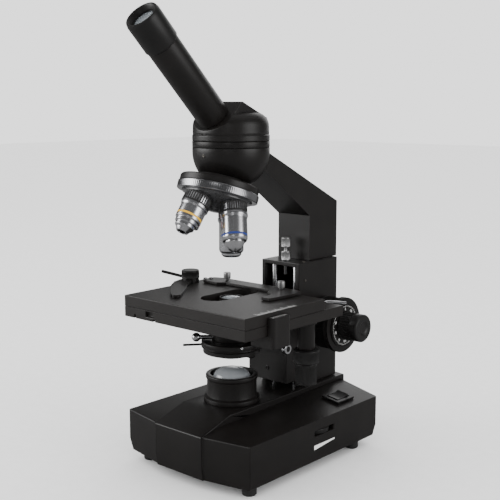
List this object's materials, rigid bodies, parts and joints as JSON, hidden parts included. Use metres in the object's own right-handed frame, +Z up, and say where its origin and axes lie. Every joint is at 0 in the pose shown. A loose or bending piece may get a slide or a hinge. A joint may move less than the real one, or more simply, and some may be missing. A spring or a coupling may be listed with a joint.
{
  "type": "monocular microscope",
  "caption": "Black monocular laboratory microscope: inclined eyepiece tube, rotating nosepiece with objectives, mechanical stage, condenser, coaxial focus knobs and a lit base.",
  "frame": {"origin": "centre of the bounding box's underside, on the surface that the feet stand on", "axes": "+Z up along the optical axis, -Y the front where the eyepiece leans towards the user, +X the side of the stage knobs, brightness wheel and power switch"},
  "size_m": [0.178, 0.2514, 0.4062],
  "materials": {
    "casting_paint": "satin black paint with a faint texture",
    "stage_paint": "satin black paint, slightly worn and greyer",
    "black_alloy": "black anodised",
    "black_plastic": "moulded black plastic",
    "polished_chrome": "polished",
    "satin_steel": "satin, knurled where it is gripped",
    "circuit_board": "printed board on a heat sink",
    "foot_rubber": "moulded rubber",
    "clear_glass": "clear, coated",
    "frosted_glass": "frosted"
  },
  "bodies": {
    "stand": {"base_body": "casting_paint", "bottom_cover": "black_alloy", "rubber_foot_1": "foot_rubber", "rubber_foot_2": "foot_rubber", "rubber_foot_3": "foot_rubber", "rubber_foot_4": "foot_rubber", "lamp_housing": "casting_paint", "collector_lens": "frosted_glass", "led_board": "circuit_board", "power_inlet": "black_plastic", "switch_bezel": "black_plastic", "focus_housing": "casting_paint", "arm": "casting_paint", "guide_rod_left": "polished_chrome", "guide_rod_right": "polished_chrome", "head_bowl": "casting_paint", "head_ring": "black_alloy", "nosepiece_mount": "casting_paint"},
    "viewing_head": {"viewing_head": "casting_paint", "prism": "clear_glass", "eyepiece_tube": "casting_paint"},
    "eyepiece": {"eyepiece_housing": "black_plastic", "eye_lens": "clear_glass", "field_lens": "clear_glass"},
    "nosepiece": {"turret_ring": "satin_steel", "turret_cone": "black_alloy", "objective_100x": "polished_chrome", "objective_40x": "polished_chrome", "objective_10x": "polished_chrome", "objective_4x": "polished_chrome"},
    "nose_100x": {"objective_nose_100x": "polished_chrome"},
    "nose_40x": {"objective_nose_40x": "polished_chrome"},
    "coarse_focus": {"coarse_knob_left": "black_plastic", "coarse_knob_right": "black_plastic"},
    "fine_focus": {"fine_knob_left": "black_plastic", "fine_knob_right": "black_plastic", "fine_dial": "black_alloy"},
    "tension": {"tension_ring": "black_alloy"},
    "stage": {"focus_carriage": "black_alloy", "stage_carrier": "casting_paint", "stage_base": "stage_paint", "scale_block": "casting_paint"},
    "upper_stage": {"stage_plate": "stage_paint", "drive_sleeve": "casting_paint"},
    "y_drive": {"y_knob": "black_plastic"},
    "x_drive": {"x_knob": "black_plastic"},
    "slide_holder": {"slide_bar": "casting_paint", "thumb_screw_left": "satin_steel", "thumb_screw_right": "satin_steel"},
    "finger": {"slide_finger": "casting_paint"},
    "condenser": {"condenser_arm": "casting_paint", "condenser_body": "black_alloy", "condenser_lens": "clear_glass", "centring_screw": "polished_chrome"},
    "condenser_drive": {"condenser_knob": "polished_chrome"},
    "iris": {"iris_ring": "casting_paint"},
    "filter": {"filter_holder": "black_alloy"},
    "brightness": {"brightness_wheel": "black_plastic"},
    "power_switch": {"switch_rocker": "black_plastic"},
    "stop": {"stop_screw": "satin_steel"}
  },
  "joints": [
    {"name": "viewing_head_turn", "type": "hinge", "parent": "stand", "child": "viewing_head", "pos_m": [0.00569, -0.01284, 0.295], "axis": [0, 0, 1], "continuous": true},
    {"name": "eyepiece_pull", "type": "slide", "parent": "viewing_head", "child": "eyepiece", "axis": [0, -0.7096, 0.7046], "range_m": [0, 0.028]},
    {"name": "nosepiece_turn", "type": "hinge", "parent": "stand", "child": "nosepiece", "pos_m": [0.00569, -0.01284, 0.302], "axis": [0, -0.3173, -0.9483], "continuous": true},
    {"name": "nose_100x_spring", "type": "slide", "parent": "nosepiece", "child": "nose_100x", "axis": [0, 0, 1], "range_m": [0, 0.002], "stiffness_N_per_m": 300, "springref_m": -0.003},
    {"name": "nose_40x_spring", "type": "slide", "parent": "nosepiece", "child": "nose_40x", "axis": [-0.3173, 0.3009, 0.8993], "range_m": [0, 0.002], "stiffness_N_per_m": 300, "springref_m": -0.003},
    {"name": "stage_focus", "type": "slide", "parent": "stand", "child": "stage", "axis": [0, 0, 1], "range_m": [-0.003, 0.03]},
    {"name": "coarse_turn", "type": "hinge", "parent": "stand", "child": "coarse_focus", "pos_m": [0.00569, 0.09116, 0.1185], "axis": [-1, 0, 0], "range_deg": [-30, 290]},
    {"name": "fine_turn", "type": "hinge", "parent": "stand", "child": "fine_focus", "pos_m": [0.00569, 0.09116, 0.1185], "axis": [-1, 0, 0], "continuous": true},
    {"name": "tension_turn", "type": "hinge", "parent": "stand", "child": "tension", "pos_m": [0.00569, 0.09116, 0.1185], "axis": [-1, 0, 0], "range_deg": [0, 30]},
    {"name": "stage_y", "type": "slide", "parent": "stage", "child": "upper_stage", "axis": [0, 1, 0], "range_m": [-0.018, 0.018]},
    {"name": "y_knob_turn", "type": "hinge", "parent": "upper_stage", "child": "y_drive", "pos_m": [0.06569, 0.02016, 0.105], "axis": [0, 0, 1], "range_deg": [-207, 207]},
    {"name": "holder_x", "type": "slide", "parent": "upper_stage", "child": "slide_holder", "axis": [1, 0, 0], "range_m": [-0.025, 0.025]},
    {"name": "x_knob_turn", "type": "hinge", "parent": "upper_stage", "child": "x_drive", "pos_m": [0.06569, 0.02016, 0.09], "axis": [0, 0, 1], "range_deg": [-287, 287]},
    {"name": "finger_open", "type": "hinge", "parent": "slide_holder", "child": "finger", "pos_m": [-0.06331, 0.00366, 0.16], "axis": [0, 0, -1], "range_deg": [0, 35], "stiffness_Nm_per_rad": 0.05, "springref_deg": -17.19},
    {"name": "condenser_focus", "type": "slide", "parent": "stage", "child": "condenser", "axis": [0, 0, 1], "range_m": [-0.006, 0]},
    {"name": "condenser_knob_turn", "type": "hinge", "parent": "condenser", "child": "condenser_drive", "pos_m": [0.02969, 0.03451, 0.102], "axis": [1, 0, 0], "range_deg": [-69, 0]},
    {"name": "iris_turn", "type": "hinge", "parent": "condenser", "child": "iris", "pos_m": [0.00569, -0.01284, 0.1125], "axis": [0, 0, 1], "range_deg": [-38, 38]},
    {"name": "filter_swing", "type": "hinge", "parent": "condenser", "child": "filter", "pos_m": [0.02619, -0.00984, 0.103], "axis": [0, 0, 1], "range_deg": [0, 75]},
    {"name": "brightness_turn", "type": "hinge", "parent": "stand", "child": "brightness", "pos_m": [0.06649, 0.02916, 0.0365], "axis": [0, 0, 1], "range_deg": [0, 270]},
    {"name": "switch_rock", "type": "hinge", "parent": "stand", "child": "power_switch", "pos_m": [0.06169, 0.07416, 0.05133], "axis": [-0.9891, 0, 0.1473], "range_deg": [0, 12]},
    {"name": "stop_screw_turn", "type": "hinge", "parent": "stand", "child": "stop", "pos_m": [0.00569, 0.06366, 0.18], "axis": [0, 0, 1], "continuous": true}
  ],
  "couplings": [
    {"joint": "coarse_turn", "follows": "stage_focus", "rad_per_m": 166.67},
    {"joint": "y_knob_turn", "follows": "stage_y", "rad_per_m": 200},
    {"joint": "x_knob_turn", "follows": "holder_x", "rad_per_m": 200},
    {"joint": "condenser_knob_turn", "follows": "condenser_focus", "rad_per_m": 200}
  ]
}
